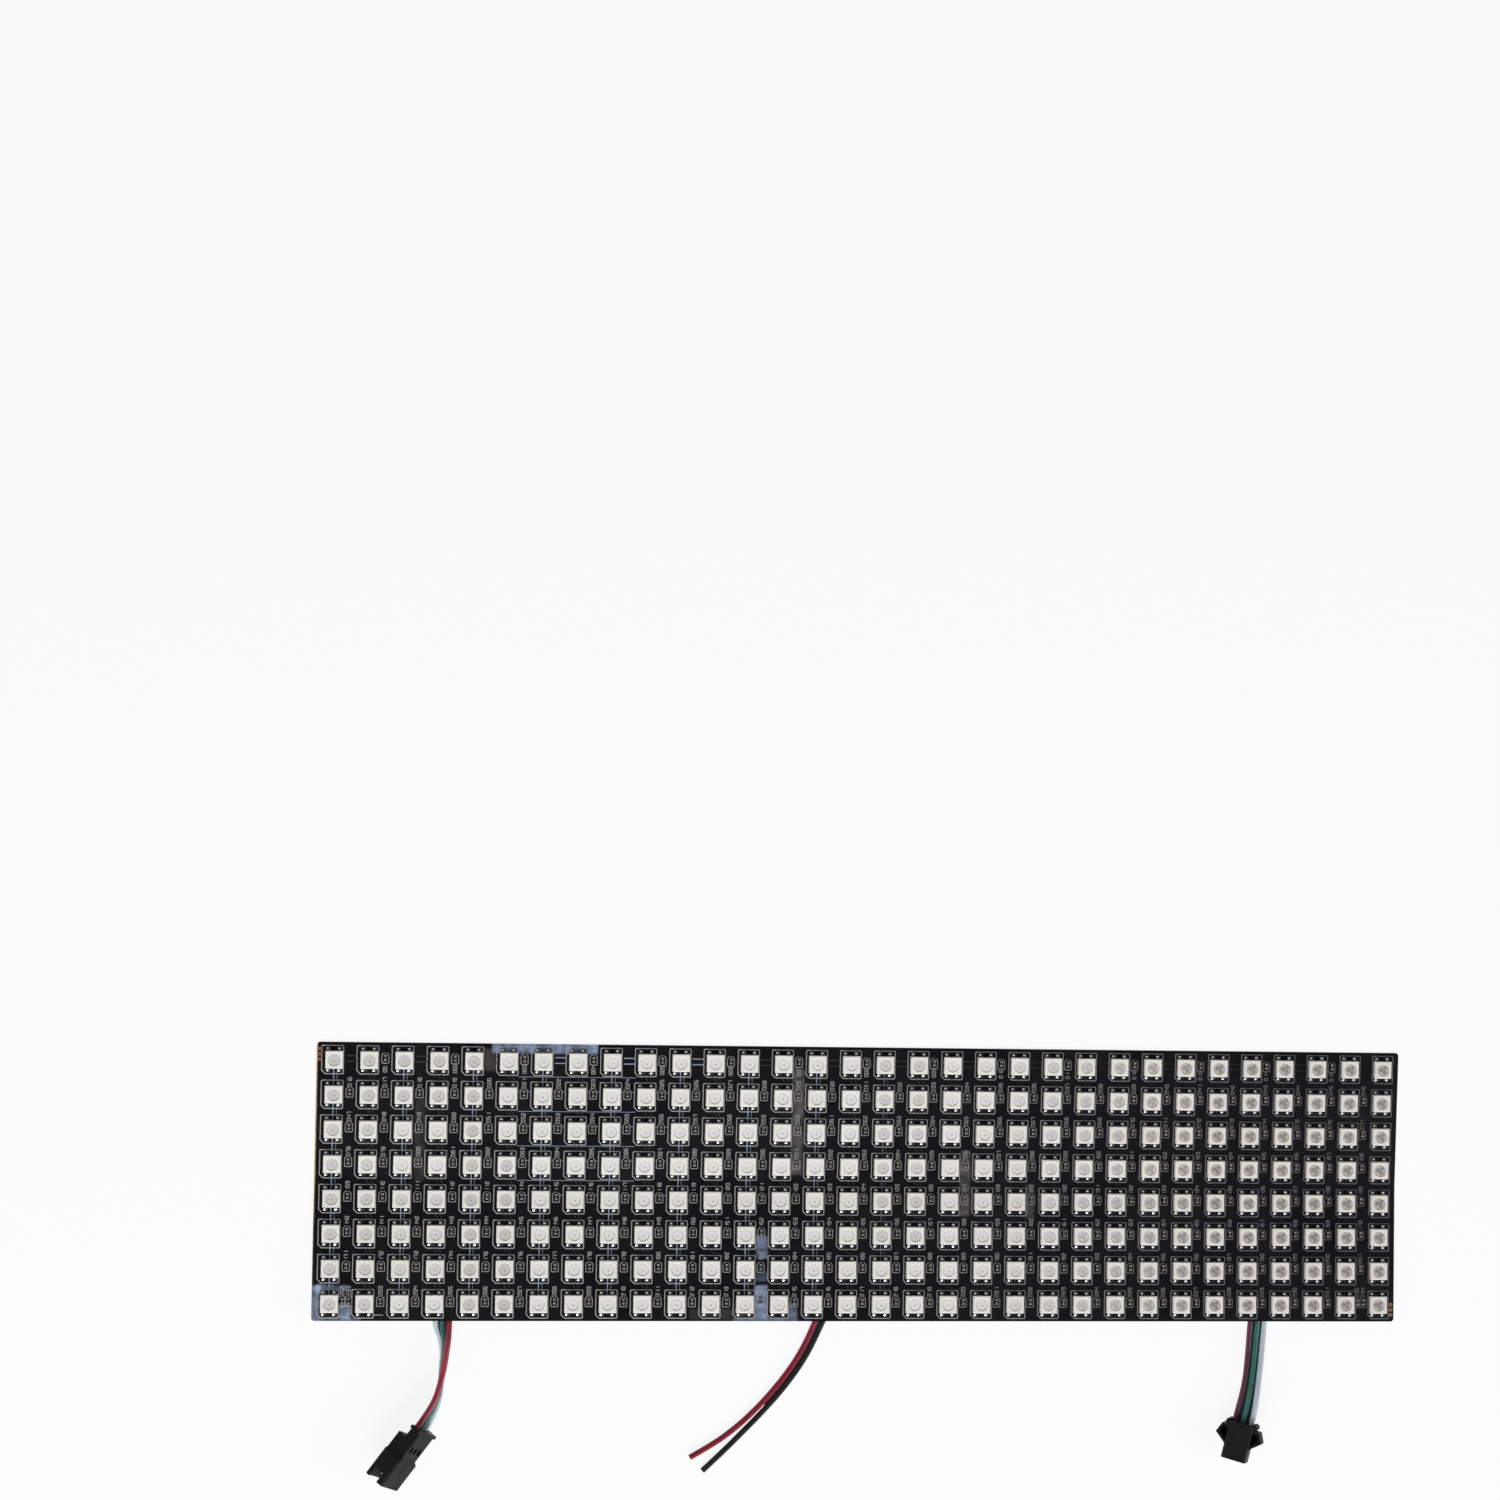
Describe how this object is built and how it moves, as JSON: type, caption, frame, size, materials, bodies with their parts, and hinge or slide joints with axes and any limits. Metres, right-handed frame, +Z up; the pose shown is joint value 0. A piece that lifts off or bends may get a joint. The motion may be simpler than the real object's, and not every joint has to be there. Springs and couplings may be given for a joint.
{
  "type": "rgb led matrix panel",
  "caption": "Thin flexible black board with a grid of square white colour lights, ribbon leads that end in black moulded connectors, and a red and black power pair with cut ends.",
  "frame": {"origin": "middle of the board's bounding box, at the surface the panel lies on", "axes": "+X along the long side, the receptacle's lead at -X and the plug's at +X; +Y towards the long edge without leads; +Z up, the way the lights face"},
  "size_m": [0.32, 0.1289, 0.0122],
  "materials": {
    "board_mask": "gloss",
    "light_housing": "satin",
    "capacitor_body": "satin",
    "resistor_body": "satin",
    "copper_contact": "satin",
    "tinned_copper": "satin",
    "solder": "satin",
    "wire_red": "satin",
    "wire_dark_red": "satin",
    "wire_green": "satin",
    "wire_white": "satin",
    "power_red": "satin",
    "power_black": "satin",
    "connector_black": "satin",
    "gold_contact": "satin"
  },
  "bodies": {
    "root": {"flexible_board": "board_mask", "light_row_1": "light_housing", "light_row_2": "light_housing", "light_row_3": "light_housing", "light_row_4": "light_housing", "light_row_5": "light_housing", "light_row_6": "light_housing", "light_row_7": "light_housing", "light_row_8": "light_housing", "capacitor_row_1": "capacitor_body", "capacitor_row_2": "capacitor_body", "capacitor_row_3": "capacitor_body", "capacitor_row_4": "capacitor_body", "capacitor_row_5": "capacitor_body", "capacitor_row_6": "capacitor_body", "capacitor_row_7": "capacitor_body", "capacitor_row_8": "capacitor_body", "data_resistors": "resistor_body", "left_edge_contacts": "copper_contact", "right_edge_contacts": "copper_contact", "left_back_pads": "tinned_copper", "left_solder_joints": "solder", "left_conductors": "tinned_copper", "power_back_pads": "tinned_copper", "power_solder_joints": "solder", "power_conductors": "tinned_copper", "right_back_pads": "tinned_copper", "right_solder_joints": "solder", "right_conductors": "tinned_copper", "left_wire_red": "wire_red", "left_wire_green": "wire_green", "left_wire_white": "wire_white", "power_wire_red": "power_red", "power_wire_black": "power_black", "right_wire_red": "wire_dark_red", "right_wire_green": "wire_green", "right_wire_white": "wire_white", "receptacle_housing": "connector_black", "receptacle_pins": "gold_contact", "plug_housing": "connector_black", "plug_sockets": "gold_contact"}
  },
  "joints": []
}
